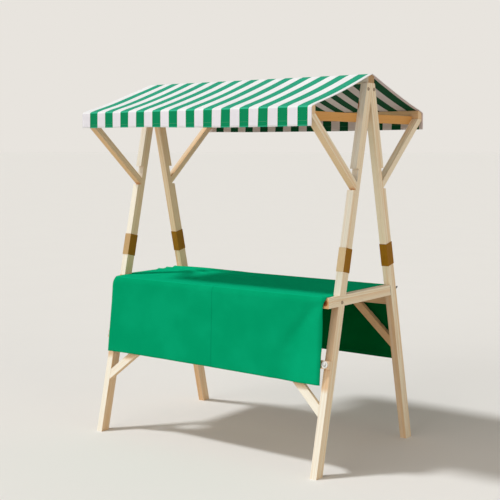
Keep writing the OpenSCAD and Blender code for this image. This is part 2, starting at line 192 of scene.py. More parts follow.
class Paint:
    """A material under construction. Its calls add nodes and give back what they put out."""

    def __init__(self, name, **shader_values):
        self.material = bpy.data.materials.new(name)
        self.material.use_nodes = True
        self.tree = self.material.node_tree
        self.shader = self.tree.nodes["Principled BSDF"]
        self.place = self.tree.nodes.new("ShaderNodeTexCoord").outputs["Object"]
        for socket, value in shader_values.items():
            self.set(socket.replace("_", " "), value)

    def feed(self, socket, value):
        if isinstance(value, bpy.types.NodeSocket):
            self.tree.links.new(value, socket)
        else:
            socket.default_value = value

    def set(self, socket, value):
        self.feed(self.shader.inputs[socket], value)

    def node(self, kind, values, **settings):
        made = self.tree.nodes.new(kind)
        for key, value in settings.items():
            setattr(made, key, value)
        for socket, value in values.items():
            self.feed(made.inputs[socket], value)
        return made

    def math(self, operation, *values):
        return self.node("ShaderNodeMath", dict(enumerate(values)), operation=operation).outputs[0]

    def times(self, first, second):
        return self.math("MULTIPLY", first, second)

    def flip(self, value):
        """1 where the value is 0, and 0 where it is 1."""
        return self.math("SUBTRACT", 1.0, value)

    def vectors(self, operation, first, second):
        return self.node("ShaderNodeVectorMath", {0: first, 1: tuple(second)}, operation=operation).outputs

    def dot(self, vector, axis):
        return self.vectors("DOT_PRODUCT", vector, axis)["Value"]

    def offset(self, point):
        """The way from a point to the place that is painted."""
        return self.vectors("SUBTRACT", self.place, point)["Vector"]

    def distance(self, point):
        return self.vectors("DISTANCE", self.place, point)["Value"]

    def join(self, x, y, z):
        return self.node("ShaderNodeCombineXYZ", {0: x, 1: y, 2: z}).outputs[0]

    def split(self, vector):
        return self.node("ShaderNodeSeparateXYZ", {0: vector}).outputs

    def normal(self):
        return self.node("ShaderNodeNewGeometry", {}).outputs["Normal"]

    def outward(self, turn=1):
        """1 on faces turned to the front on the front half and to the back on the back half.

        With turn -1 it is 1 on the faces turned inwards.
        """
        facing = self.split(self.normal())[1]
        half = self.math("SIGN", self.split(self.place)[1])
        return self.step(self.times(facing, self.times(half, turn)), 0.80, 0.92)

    def stretched(self, axes, scale, shift, side_shift=0.0):
        """A place for noise, with a scale (along, across) for the first of three axes and the other two."""
        along, across, deep = axes
        return self.join(
            self.math("MULTIPLY_ADD", along, scale[0], shift),
            self.math("MULTIPLY_ADD", across, scale[1], side_shift),
            self.times(deep, scale[1]),
        )

    def noise(self, place, scale=1.0, detail=2.0):
        values = {"Vector": place, "Scale": scale, "Detail": detail}
        return self.node("ShaderNodeTexNoise", values).outputs["Fac"]

    def cells(self, place):
        return self.node("ShaderNodeTexVoronoi", {"Vector": place, "Scale": 1.0}).outputs["Distance"]

    def step(self, value, low, high):
        """0 at low, 1 at high, and a soft change between. Either may be the greater."""
        values = {"Value": value, "From Min": low, "From Max": high}
        made = self.node("ShaderNodeMapRange", values, interpolation_type="SMOOTHSTEP")
        return made.outputs["Result"]

    def mix(self, factor, first, second, blend="MIX"):
        made = self.node("ShaderNodeMix", {}, data_type="RGBA", blend_type=blend)
        self.feed(made.inputs["Factor"], factor)
        self.feed(made.inputs[6], first)
        self.feed(made.inputs[7], second)
        return made.outputs[2]

    def shade(self, color, amount, depth):
        """The colour darkened by up to depth where amount is 1."""
        grey = self.flip(self.times(amount, depth))
        return self.mix(1.0, color, self.join(grey, grey, grey), "MULTIPLY")

    def bump(self, height, distance, strength=1.0):
        values = {"Height": height, "Distance": distance, "Strength": strength}
        self.set("Normal", self.node("ShaderNodeBump", values).outputs["Normal"])


def rgb(red, green, blue):
    """A colour given in the usual 0 to 255 steps, as the shader's linear values."""
    shares = [step / 255 for step in (red, green, blue)]
    linear = [share / 12.92 if share <= 0.04045 else ((share + 0.055) / 1.055) ** 2.4 for share in shares]
    return (*linear, 1.0)


# Pine: growth rings around a pith beside the timber, fibres, streaks and a few knots
RING_PITCH = 0.0052
RING_WANDER = 0.022
KNOT_SWIRL = 0.012
PITH_ASIDE = 0.045
PITH_DEEP = 0.035
PITH_SPREAD = 0.02
PORE_DEPTH = 0.0004
SEED_SHIFT = 7.31

# Scales of the wood's patterns, along the grain and across it
KNOT_SCALE = (2.6, 6.0)
WANDER_SCALE = (1.3, 9.0)
FIBRE_SCALE = (9.0, 420.0)
STREAK_SCALE = (0.9, 60.0)
FLECK_SCALE = (45.0, 340.0)

# Heights of the painted shade behind and under the tablecloth: its soft borders at the front hem and at the
# counter
HEM_BORDER = (0.405, 0.44)
COUNTER_BORDER = (0.885, 0.865)

# Colours of the wood, its bare ends and its knots, and tones that paint in light and shade
PALE_WOOD = rgb(240, 229, 205)
LATE_WOOD = rgb(216, 182, 136)
WARM_WOOD = rgb(229, 198, 157)
# A warm tone for faces not turned outwards: partly the timbers' own tone, partly painted warm shade
WARM_SHADE_WOOD = rgb(208, 148, 70)
END_WOOD = rgb(222, 170, 108)
PALE_END = rgb(226, 200, 164)
# The ridge rail's end, darkened as painted shade under the canopy
SHADED_RIDGE_END = rgb(150, 104, 40)
# A whitened tone for outward faces: painted sunlight
PAINTED_SUNLIT_WOOD = rgb(228, 232, 229)
# A darker, warmer tone: painted shade behind the tablecloth and on inward faces below the counter
PAINTED_SHADE_WOOD = rgb(196, 150, 104)
# A warm tone for faces turned down: painted warm shade
PAINTED_UNDERSIDE_SHADE = rgb(214, 170, 116)
KNOT_RIM = rgb(168, 104, 52)
KNOT_CORE = rgb(116, 62, 30)

# Leather, the dark tone of each streak before the pale one, and metals
LEATHER = (rgb(132, 88, 12), rgb(170, 120, 30))
WORN_LEATHER = (rgb(212, 184, 140), rgb(230, 208, 170))
DARK_STEEL = rgb(92, 88, 84)
WORN_STEEL = rgb(172, 156, 136)
ZINC = rgb(206, 207, 205)
GALVANISED = rgb(168, 170, 170)
METAL_PITS = 0.0002


def grain_axes(paint, grain, middle):
    """Distances from a timber's middle: along its grain, across its face and into it."""
    face = Vector((0, 0, 1)) if abs(grain.x) > 0.9 else Vector((1, 0, 0))
    face = (face - grain * face.dot(grain)).normalized()
    here = paint.offset(middle)
    return [paint.dot(here, axis) for axis in (grain, grain.cross(face), face)]


def knots(paint, axes, shift, clear, knot_at):
    """The distance from the nearest knot, in cells. Clear wood has none, apart from one at knot_at."""
    distance = paint.cells(paint.stretched(axes, KNOT_SCALE, shift, shift))
    if clear:
        distance = paint.math("ADD", distance, 1.0)
    if knot_at:
        distance = paint.math("MINIMUM", distance, paint.times(paint.distance(knot_at), 4.5))
    return distance


def late_wood(paint, axes, seed, shift, knot):
    """1 on the dark part of each growth ring. The rings wander, and swing out around a knot."""
    across = paint.math("ADD", axes[1], PITH_ASIDE * math.cos(seed * 2.4))
    deep = paint.math("ADD", axes[2], PITH_DEEP + PITH_SPREAD * math.sin(seed * 1.7))
    radius = paint.math("SQRT", paint.math("ADD", paint.times(across, across), paint.times(deep, deep)))
    wander = paint.noise(paint.stretched(axes, WANDER_SCALE, shift))
    swirl = paint.flip(paint.step(knot, 0.03, 0.30))
    radius = paint.math("MULTIPLY_ADD", wander, RING_WANDER, radius)
    radius = paint.math("MULTIPLY_ADD", swirl, KNOT_SWIRL, radius)
    ring = paint.math("FRACT", paint.math("DIVIDE", radius, RING_PITCH))
    return paint.times(paint.step(ring, 0.35, 0.88), paint.flip(paint.step(ring, 0.90, 1.0)))


def painted_light_and_shade(paint, color, shade_warmth):
    """The colour with painted light and shade: whitened as painted sunlight on outward faces in open air,
    painted shade on outward faces behind the tablecloth, on inward faces below the counter and on undersides,
    and warm painted shade on faces not turned outwards.
    """
    height = paint.split(paint.place)[2]
    below_counter = paint.step(height, *COUNTER_BORDER)
    outward = paint.outward()
    # Painted shade on outward faces behind the tablecloth's drop
    cloth_shaded_faces = paint.times(outward, paint.times(paint.step(height, *HEM_BORDER), below_counter))
    # Outward faces outside the tablecloth's shade: whitened as painted sunlight
    sunlit_faces = paint.math("SUBTRACT", outward, cloth_shaded_faces)
    # Painted shade on inward faces below the counter
    shaded_inward = paint.times(paint.outward(-1), below_counter)
    # Painted warm shade on faces turned down
    shaded_undersides = paint.step(paint.split(paint.normal())[2], -0.15, -0.6)
    # The last mix warms faces not turned outwards: partly their own tone, partly painted warm shade
    for faces, strength, tone in (
        (sunlit_faces, 0.45, PAINTED_SUNLIT_WOOD),
        (cloth_shaded_faces, 0.6, PAINTED_SHADE_WOOD),
        (shaded_inward, 0.45, PAINTED_SHADE_WOOD),
        (shaded_undersides, 0.55, PAINTED_UNDERSIDE_SHADE),
        (paint.flip(outward), shade_warmth, WARM_SHADE_WOOD),
    ):
        color = paint.mix(paint.times(faces, strength), color, tone)
    return color


def joint_shade(paint):
    """1 along the joint where a bearer meets the back leg's leaning inner edge, where painted shade darkens
    the bearer.
    """
    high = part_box("leg_back_right")[1]
    _, y, z = paint.split(paint.place)
    inner_edge = paint.math("MULTIPLY_ADD", z, -leg_slope(), high.y - LEG_DEPTH)
    gap = paint.math("ABSOLUTE", paint.math("SUBTRACT", inner_edge, y))
    return paint.flip(paint.step(gap, 0.002, 0.007))


def pine(name, grain, middle, seed, end_color=END_WOOD, shade_warmth=0.0, clear=False, knot_at=None, butted=False):
    """Wood along grain. Clear wood has no knots, and a butted piece ends against the back leg, with painted
    shade along that joint.
    """
    paint = Paint(name, Roughness=0.6, Specular_IOR_Level=0.15)
    grain = Vector(grain).normalized()
    axes = grain_axes(paint, grain, middle)
    shift = seed * SEED_SHIFT
    knot = knots(paint, axes, shift, clear, knot_at)
    late = late_wood(paint, axes, seed, shift, knot)
    fibre = paint.noise(paint.stretched(axes, FIBRE_SCALE, shift), detail=3.0)
    streak = paint.noise(paint.stretched(axes, STREAK_SCALE, shift), detail=3.0)
    fleck = paint.noise(paint.stretched(axes, FLECK_SCALE, shift))

    color = paint.mix(paint.times(late, 0.5), PALE_WOOD, LATE_WOOD)
    color = paint.mix(paint.step(streak, 0.46, 0.74), color, WARM_WOOD)
    # Painted light and shade on the wood's faces
    color = painted_light_and_shade(paint, color, shade_warmth)
    color = paint.shade(color, paint.step(fibre, 0.45, 0.75), 0.10)
    color = paint.shade(color, paint.step(fleck, 0.68, 0.76), 0.25)
    ends = paint.step(paint.math("ABSOLUTE", paint.dot(paint.normal(), grain)), 0.75, 0.95)
    color = paint.mix(paint.times(ends, 0.75), color, end_color)
    knot_color = paint.mix(paint.step(knot, 0.02, 0.07), KNOT_CORE, KNOT_RIM)
    color = paint.mix(paint.flip(paint.step(knot, 0.062, 0.085)), color, knot_color)
    # Painted shade in the joint with the back leg
    if butted:
        color = paint.shade(color, joint_shade(paint), 0.6)
    paint.set("Base Color", color)
    paint.bump(paint.math("ADD", paint.times(fibre, 0.6), paint.times(late, 0.3)), PORE_DEPTH, 0.6)
    return paint.material


def leather_band(name, grain, seed, worn):
    """A brown band, worn pale on its outward face: worn is how far, from 0 to 1."""
    paint = Paint(name, Roughness=0.6, Specular_IOR_Level=0.1)
    along = paint.dot(paint.place, grain)
    x, y, _ = paint.split(paint.place)
    streak = paint.noise(paint.stretched((along, x, y), (4.0, 150.0), seed), detail=3.0)
    pores = paint.noise(paint.place, 900.0)
    color = paint.mix(streak, *LEATHER)
    color = paint.mix(paint.times(paint.outward(), worn), color, paint.mix(streak, *WORN_LEATHER))
    paint.set("Base Color", paint.shade(color, pores, 0.12))
    paint.bump(paint.math("ADD", pores, streak), PORE_DEPTH, 0.5)
    return paint.material


def metal(name, color, roughness):
    paint = Paint(name, Metallic=1.0)
    cloudy = paint.noise(paint.place, 220.0, 3.0)
    paint.set("Base Color", paint.shade(color, cloudy, 0.3))
    paint.set("Roughness", paint.math("MULTIPLY_ADD", cloudy, 0.25, roughness))
    paint.bump(paint.noise(paint.place, 900.0), METAL_PITS, 0.3)
    return paint.material


# Cloth: the weave's depth, how many times as deep a seam pulls it in, the soft edges of a seam's thread on
# either side of its line, and the length of a stitch with its gap
WEAVE_DEPTH = 0.0002
SEAM_PULL = 3.0
THREAD_HALF = (0.0005, 0.0011)
STITCH_PITCH = 0.006


def weave(paint, pitch):
    """The height of a plain weave seen from any side, from threads along all three axes."""
    x, y, z = [paint.math("SINE", paint.times(axis, math.tau / pitch)) for axis in paint.split(paint.place)]
    return paint.math("ADD", paint.times(x, y), paint.times(x, z))


def stitches(paint, across, along):
    """1 on a broken line of thread where across is 0."""
    line = paint.flip(paint.step(paint.math("ABSOLUTE", across), *THREAD_HALF))
    from_gap = paint.math("PINGPONG", along, STITCH_PITCH / 2)
    return paint.times(line, paint.step(from_gap, STITCH_PITCH * 0.06, STITCH_PITCH * 0.12))


# The canopy's two sides: outside, where the roof's colours are lightened by painted sky sheen, the folds'
# green is a painted highlight and the valance's white carries a faint painted blue of sky light; and inside,
# where darker colours are painted shade
# The valance's white is tinted a little blue, as painted sky light
VALANCE_WHITE = rgb(228, 226, 233)
VALANCE_GREEN = rgb(0, 134, 87)
# The roof's colours, lighter than the valance's: painted sky sheen
SHEEN_ROOF_WHITE = rgb(238, 239, 240)
SHEEN_ROOF_GREEN = rgb(34, 158, 124)
# A lighter green along the eaves folds: a painted highlight
FOLD_HIGHLIGHT_GREEN = rgb(52, 182, 142)
# The inside's colours, darker as painted shade under the canopy
SHADED_INSIDE_WHITE = rgb(214, 197, 194)
SHADED_INSIDE_GREEN = rgb(1, 72, 40)
CANOPY_STITCH = rgb(200, 220, 206)
CANVAS_PITCH = 0.0016


def stripes(paint, x, from_edge):
    """1 on the green stripes, which stop at the side hems."""
    from_start = paint.math("SUBTRACT", x, STRIPE_START)
    phase = paint.times(paint.math("FRACT", paint.math("DIVIDE", from_start, STRIPE_PITCH)), STRIPE_PITCH)
    # Half a stripe either side of its middle, so that both edges are one threshold
    half = STRIPE_GREEN / 2
    off_middle = paint.math("ABSOLUTE", paint.math("SUBTRACT", phase, half))
    green = paint.flip(paint.step(off_middle, half - STRIPE_BLUR, half + STRIPE_BLUR))
    return paint.times(green, paint.step(from_edge, -STRIPE_BLUR, STRIPE_BLUR))


def striped_canvas(name, sloping, hanging, fold_highlight_green):
    """Stripes in the colours (white, green) of the sloping and the hanging cloth, and green at the folds.
    Outside, the sloping colours carry painted sky sheen and the folds' green is a painted highlight.
    """
    paint = Paint(name, Roughness=0.8, Specular_IOR_Level=0.1)
    x, y, z = paint.split(paint.place)
    low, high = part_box("canopy")
    from_edge = paint.math("SUBTRACT", high.x - CANOPY_HEM, paint.math("ABSOLUTE", x))
    from_bottom = paint.math("SUBTRACT", z, low.z + CANOPY_HEM)
    level = paint.math("ABSOLUTE", paint.split(paint.normal())[2])
    slope = paint.step(level, 0.15, 0.55)
    fold = paint.math("SUBTRACT", slope, paint.step(level, 0.88, 0.94))
    # Painted sheen on sloping cloth, by how level each face is
    white = paint.mix(slope, hanging[0], sloping[0])
    # Painted highlight on the folds
    green = paint.mix(fold, paint.mix(slope, hanging[1], sloping[1]), fold_highlight_green)
    color = paint.mix(stripes(paint, x, from_edge), white, green)
    cloudy = paint.noise(paint.place, 6.0, 3.0)
    threads = paint.noise(paint.join(paint.times(x, 900.0), paint.times(y, 60.0), z))
    color = paint.shade(color, paint.step(cloudy, 0.35, 0.75), 0.05)
    color = paint.shade(color, threads, 0.06)
    seam = paint.math("MAXIMUM", stitches(paint, from_edge, y), stitches(paint, from_bottom, x))
    paint.set("Base Color", paint.mix(paint.times(seam, 0.12), color, CANOPY_STITCH))
    paint.bump(paint.math("MULTIPLY_ADD", seam, -SEAM_PULL, weave(paint, CANVAS_PITCH)), WEAVE_DEPTH, 0.5)
    return paint.material


# The tablecloth's green, cloudy between the first two tones, and the third a painted highlight where it lies
# flat and right of the trough. The inside's darker tones are painted shade.
GREEN_OUTSIDE = (rgb(3, 152, 103), rgb(6, 159, 110), rgb(8, 178, 126))
# Darker tones for the inside: painted shade
SHADED_GREEN_INSIDE = (rgb(0, 84, 38), rgb(1, 92, 44), rgb(1, 92, 44))
COTTON_STITCH = rgb(40, 150, 104)
COTTON_PITCH = 0.0012


def drop_light_and_shade(paint, color, highlight_green):
    """The front drop's painted light and shade: a painted highlight right of the trough, and painted shade on
    the side hem and in the pressed crease.
    """
    x, y, z = paint.split(paint.place)
    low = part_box("tablecloth")[0]
    front = paint.math("LESS_THAN", y, low.y + 0.05)
    above_hem = paint.math("SUBTRACT", z, low.z)
    bend = paint.times(above_hem, paint.math("MULTIPLY_ADD", above_hem, HIGHLIGHT_LINE[2], HIGHLIGHT_LINE[1]))
    from_trough = paint.math("SUBTRACT", x, paint.math("ADD", bend, HIGHLIGHT_LINE[0]))
    from_edge = paint.math("SUBTRACT", paint.math("MULTIPLY_ADD", z, SIDE_HEM[1], SIDE_HEM[0]), x)
    from_crease = paint.math("SUBTRACT", x, paint.math("MULTIPLY_ADD", z, CREASE[1], CREASE[0]))
    lit_right = paint.times(paint.step(from_trough, 0.0, 0.11), paint.step(from_edge, 0.010, 0.026))
    side_hem_shade = paint.flip(paint.step(from_edge, 0.002, 0.016))
    crease = paint.flip(paint.step(paint.math("ABSOLUTE", from_crease), 0.0015, 0.0055))
    # Painted highlight right of the trough
    color = paint.mix(paint.times(paint.times(lit_right, front), 0.45), color, highlight_green)
    # Painted shade along the side hem
    color = paint.shade(color, paint.times(side_hem_shade, front), 0.20)
    # Painted shade in the crease
    return paint.shade(color, paint.times(crease, front), 0.16)


def green_cotton(name, dark, bright, highlight_green):
    """Green cotton, cloudy between dark and bright, with a painted highlight where it lies flat."""
    paint = Paint(name, Roughness=0.85, Specular_IOR_Level=0.0)
    x, y, z = paint.split(paint.place)
    cloudy = paint.noise(paint.place, 5.0, 3.0)
    threads = paint.noise(paint.join(paint.times(x, 800.0), y, paint.times(z, 90.0)))
    color = paint.mix(paint.step(cloudy, 0.35, 0.7), dark, bright)
    level = paint.math("ABSOLUTE", paint.split(paint.normal())[2])
    # Painted highlight where the cloth lies flat
    color = paint.mix(paint.step(level, 0.72, 0.98), color, highlight_green)
    color = drop_light_and_shade(paint, color, highlight_green)
    color = paint.shade(color, threads, 0.08)
    seam = stitches(paint, paint.math("SUBTRACT", z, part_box("tablecloth")[0].z + CLOTH_HEM), x)
    paint.set("Base Color", paint.mix(paint.times(seam, 0.2), color, COTTON_STITCH))
    paint.bump(paint.math("MULTIPLY_ADD", seam, -SEAM_PULL, weave(paint, COTTON_PITCH)), WEAVE_DEPTH, 0.4)
    return paint.material


# Timbers: softened edges, and wood whose grain runs along each one
def weld_and_ease(node, width):
    """Rounds a node's edges by modifiers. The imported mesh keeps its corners."""
    weld = node.modifiers.new("weld", "WELD")
    weld.merge_threshold = 0.00002
    plain = node.modifiers.new("plain_faces", "DECIMATE")
    plain.decimate_type = "DISSOLVE"
    plain.angle_limit = math.radians(0.5)
    ease = node.modifiers.new("ease_edges", "BEVEL")
    ease.width = width
    ease.segments = 2
    ease.limit_method = "ANGLE"
    ease.angle_limit = math.radians(35)
    ease.use_clamp_overlap = True
    smooth = node.modifiers.new("even_shading", "WEIGHTED_NORMAL")
    smooth.weight = 100


def paint_node(name, material):
    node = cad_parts[name]
    node.data.materials.clear()
    node.data.materials.append(material)


def leg_slope():
    """How far a leg leans inwards for each metre of height."""
    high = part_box("leg_back_right")[1]
    return (high.y - APEX_HALF) / high.z


def leg_grain(side):
    return Vector((0, -side * leg_slope(), 1)).normalized()


def knee_grain(end, side, angle):
    up = leg_grain(side)
    return Vector((-end * math.cos(angle), up.y * math.sin(angle), up.z * math.sin(angle)))


def timber_grains():
    """Each timber's name with the way its grain runs."""
    grains = {name: (1, 0, 0) for name in (
        "ridge_rail", "eaves_rail_front", "eaves_rail_back", "counter_boards", "back_rail", "front_rail",
    )}
    for end_name, end in (("left", -1), ("right", 1)):
        for beam in ("tie_beam", "counter_bearer", "counter_cleat", "counter_batten"):
            grains[f"{beam}_{end_name}"] = (0, 1, 0)
        for side_name, side, angle in (("front", -1, FRONT_KNEE_ANGLE), ("back", 1, BACK_KNEE_ANGLE)):
            corner = f"{side_name}_{end_name}"
            grains[f"leg_{corner}"] = leg_grain(side)
            grains[f"upper_brace_{corner}"] = (0, side * math.cos(BRACE_ANGLE), math.sin(BRACE_ANGLE))
            grains[f"knee_brace_{corner}"] = knee_grain(end, side, angle)
    return grains


# Timbers whose faces not turned outwards are warmer, partly in their own tone and partly as painted warm
# shade, by the start of their names, and rails whose bare ends differ
WARM_SHADE_SHARES = {
    "tie_beam": 0.9,
    "eaves_rail": 0.6,
    "knee_brace_back": 0.4,
    "back_rail": 0.25,
    "upper_brace_front_left": 0.3,
    "upper_brace_back_left": 0.3,
    "leg_front_left": 0.3,
    "leg_back_left": 0.3,
}
ENDS = {
    "eaves_rail_front": PALE_END,
    "eaves_rail_back": PALE_END,
    "front_rail": PALE_END,
    # Painted shade on the ridge rail's end
    "ridge_rail": SHADED_RIDGE_END,
}

# How far the bands are worn on the left legs and on the right
BAND_WEAR = {"left": 0.45, "right": 1.0}


def dress_timbers():
    for seed, (name, grain) in enumerate(timber_grains().items(), start=1):
        low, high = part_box(name)
        shade_warmth = next((value for start, value in WARM_SHADE_SHARES.items() if name.startswith(start)), 0.0)
        # The right bearer's bare end shows a knot
        knot_at = (low.x + 0.016, low.y, (low.z + high.z) / 2) if name == "counter_bearer_right" else None
        paint_node(name, pine(
            f"pine_{name}", grain, (low + high) / 2, seed, ENDS.get(name, END_WOOD), shade_warmth,
            clear="brace" in name or "tie" in name, knot_at=knot_at, butted=name.startswith("counter_bearer"),
        ))
        weld_and_ease(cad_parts[name], BOARD_ROUND if name == "counter_boards" else TIMBER_ROUND)


def dress_bands():
    for seed, side_name, side in ((1.0, "front", -1), (2.0, "back", 1)):
        for end_name, worn in BAND_WEAR.items():
            name = f"leg_band_{side_name}_{end_name}"
            paint_node(name, leather_band(f"leather_{side_name}_{end_name}", leg_grain(side), seed, worn))
            weld_and_ease(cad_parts[name], HARDWARE_ROUND)


def dress_hardware():
    dark = metal("dark_steel", DARK_STEEL, 0.35)
    worn = metal("worn_steel", WORN_STEEL, 0.5)
    zinc = metal("zinc_plated_steel", ZINC, 0.42)
    plate = metal("galvanised_plate", GALVANISED, 0.4)
    for name, material in (
        ("apex_bolts", worn), ("bearer_screws", worn), ("wing_bolts", dark), ("rail_bolts", zinc),
        ("apex_plate_left", plate), ("apex_plate_right", plate),
    ):
        paint_node(name, material)
        weld_and_ease(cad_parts[name], HARDWARE_ROUND)


# Sheets of cloth: a profile drawn as (y, z) from one hem to the other, swept along X
def arc(center, radius, start, end, count):
    """Points (y, z) on an arc, with angles in degrees from +Y towards +Z."""
    angles = [math.radians(start + (end - start) * i / count) for i in range(count + 1)]
    return [(center[0] + radius * math.cos(a), center[1] + radius * math.sin(a)) for a in angles]


def spaced(points, pitch):
    """The same line with its long stretches cut into steps of about pitch."""
    line = [np.array(points[:1])]
    for start, end in zip(points, points[1:]):
        count = max(1, round(math.dist(start, end) / pitch))
        line.append(np.linspace(start, end, count + 1)[1:])
    return np.concatenate(line)


def columns(low, high, pitch, edge):
    """Places along X, closer together within edge of both ends."""
    inner = np.linspace(low + edge, high - edge, round((high - low - 2 * edge) / pitch) + 1)
    steps = np.linspace(0, edge, 4)[:-1]
    return np.concatenate([low + steps, inner, (high - steps)[::-1]])


def grid_normals(grid):
    """Outward normals of a grid of points, indexed [column, row]."""
    along = np.gradient(grid, axis=0)
    up = np.gradient(grid, axis=1)
    normals = np.cross(along, up)
    return normals / np.linalg.norm(normals, axis=2, keepdims=True)


def sheet_piece(name, grid, thickness, outside, inside):
    """A closed sheet: grid is its outer surface, and thickness its depth at each point."""
    count_x, count_y = grid.shape[:2]
    inner = grid - grid_normals(grid) * thickness[:, :, None]
    points = np.concatenate([grid.reshape(-1, 3), inner.reshape(-1, 3)])

    def at(i, j, layer=0):
        return (layer * count_x + i) * count_y + j

    outer_faces, inner_faces, rim_faces = [], [], []
    last_x, last_y = count_x - 1, count_y - 1
    for i in range(last_x):
        for j in range(last_y):
            outer_faces.append((at(i, j), at(i + 1, j), at(i + 1, j + 1), at(i, j + 1)))
            inner_faces.append((at(i, j, 1), at(i, j + 1, 1), at(i + 1, j + 1, 1), at(i + 1, j, 1)))
    for i in range(last_x):
        rim_faces.append((at(i, 0), at(i, 0, 1), at(i + 1, 0, 1), at(i + 1, 0)))
        rim_faces.append((at(i, last_y), at(i + 1, last_y), at(i + 1, last_y, 1), at(i, last_y, 1)))
    for j in range(last_y):
        rim_faces.append((at(0, j), at(0, j + 1), at(0, j + 1, 1), at(0, j, 1)))
        rim_faces.append((at(last_x, j), at(last_x, j, 1), at(last_x, j + 1, 1), at(last_x, j + 1)))
    mesh = bpy.data.meshes.new(name)
    mesh.from_pydata(points.tolist(), [], outer_faces + rim_faces + inner_faces)
    mesh.materials.append(outside)
    mesh.materials.append(inside)
    shown = len(outer_faces) + len(rim_faces)
    mesh.polygons.foreach_set("material_index", [0] * shown + [1] * len(inner_faces))
    mesh.polygons.foreach_set("use_smooth", [True] * (shown + len(inner_faces)))
    return add_object(name, mesh)


def add_object(name, mesh):
    piece = bpy.data.objects.new(name, mesh)
    bpy.context.scene.collection.objects.link(piece)
    return piece


def wave(x, y, scale, seed):
    """Smooth noise from -1 to 1 that repeats the same on every run."""
    return noise.noise(Vector((x * scale, y * scale, seed)))


def smooth(value, low, high):
    """0 at low and before it, 1 from high on, and a soft change between. Either may be the greater."""
    t = min(1.0, max(0.0, (value - low) / (high - low)))
    return t * t * (3 - 2 * t)


def bell(distance, width):
    return math.exp(-(distance / width) ** 2)


def read_off(table, place):
    """The value at a place, from a table of places and values."""
    return float(np.interp(place, [row[0] for row in table], [row[1] for row in table]))


def hem_extra(from_edge, hem, extra):
    """The extra thickness of a hem, which is turned over once."""
    return extra if from_edge < hem * 0.99 else 0.0


def canopy_line():
    """The canopy's outer line from the front hem over the ridge to the back hem."""
    low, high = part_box("canopy")
    outer = high.y - CANOPY_INSET
    radius = CANOPY_FOLD_R - CANOPY_INSET
    pitch_deg = math.degrees(ROOF_PITCH)
    eaves_y = high.y - CANOPY_FOLD_R
    eaves_z = high.z - math.tan(ROOF_PITCH) * eaves_y - CANOPY_FOLD_R / math.cos(ROOF_PITCH)
    ridge_z = high.z - CANOPY_INSET / math.cos(ROOF_PITCH) - RIDGE_R / math.cos(ROOF_PITCH)
    line = [(-outer, low.z)]
    line += arc((-eaves_y, eaves_z), radius, 180, 90 + pitch_deg, 8)
    line += arc((0, ridge_z), RIDGE_R, 90 + pitch_deg, 90 - pitch_deg, 6)
    line += arc((eaves_y, eaves_z), radius, 90 - pitch_deg, 0, 8)
    line.append((outer, low.z))
    return spaced(line, CANOPY_ROW)


def roof_sag(x, y, share):
    """How far the roof hangs at a share of the way from its bearing at the ridge to the one at the eaves."""
    if not 0 < share < 1:
        return 0.0
    sag = ROOF_SAG * (1 - (2 * share - 1) ** 2) * (1 + 0.5 * wave(x, y, 3.0, 1.0))
    return sag + ROOF_RIPPLE * wave(x, y * 0.25, 9.0, 2.0) * math.sin(math.pi * share)


def canopy_surface(low, high, line, across):
    """The canopy's outer surface and its thickness, for each place across and along its line."""
    grid = np.zeros((len(across), len(line), 3))
    thickness = np.zeros(grid.shape[:2])
    eaves_y = high.y - EAVES_BEARING
    valance_top = low.z + VALANCE_HANG
    for i, x in enumerate(across):
        for j, (y, z) in enumerate(line):
            sag = roof_sag(x, y, (abs(y) - RIDGE_BEARING) / (eaves_y - RIDGE_BEARING))
            hang = max(0.0, (valance_top - z) / VALANCE_HANG)
            sag += hang * read_off(FRONT_SAG if y < 0 else BACK_SAG, x)
            out = hang * (VALANCE_WAVE * wave(x, y, 4.5, 3.0) + VALANCE_RIPPLE * wave(x, y, 14.0, 4.0))
            grid[i, j] = (x, y + math.copysign(out, y), z - sag)
            from_edge = min(high.x - abs(x), max(0.0, z - low.z))
            thickness[i, j] = CANOPY_T + hem_extra(from_edge, CANOPY_HEM, CANOPY_HEM_EXTRA)
    return grid, thickness


def canopy():
    low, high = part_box("canopy")
    line = canopy_line()
    grid, thickness = canopy_surface(low, high, line, columns(low.x, high.x, CANOPY_COLUMN, CANOPY_HEM))
    hanging = (VALANCE_WHITE, VALANCE_GREEN)
    outside = striped_canvas("striped_canvas", (SHEEN_ROOF_WHITE, SHEEN_ROOF_GREEN), hanging, FOLD_HIGHLIGHT_GREEN)
    # The inside is painted darker, as shade
    inside_shade = (SHADED_INSIDE_WHITE, SHADED_INSIDE_GREEN)
    inside = striped_canvas("striped_canvas_inside_shaded", inside_shade, inside_shade, SHADED_INSIDE_GREEN)
    piece = sheet_piece("canopy_cloth", grid, thickness, outside, inside)
    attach(piece, "root")
    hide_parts("canopy")


def fold_size(x):
    """Depth and height of the front fold at a place along the counter."""
    into_corner = min(CORNER_R * 0.9, max(0.0, CORNER_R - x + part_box("counter_boards")[0].x))
    recess = CORNER_R - math.sqrt(CORNER_R ** 2 - into_corner ** 2)
    tight = smooth(x, *TIGHT_BORDER)
    depth = FOLD_MAIN[0] + recess + tight * (FOLD_TIGHT[0] - FOLD_MAIN[0])
    height = FOLD_MAIN[1] + 0.7 * recess + tight * (FOLD_TIGHT[1] - FOLD_MAIN[1])
    return depth, height


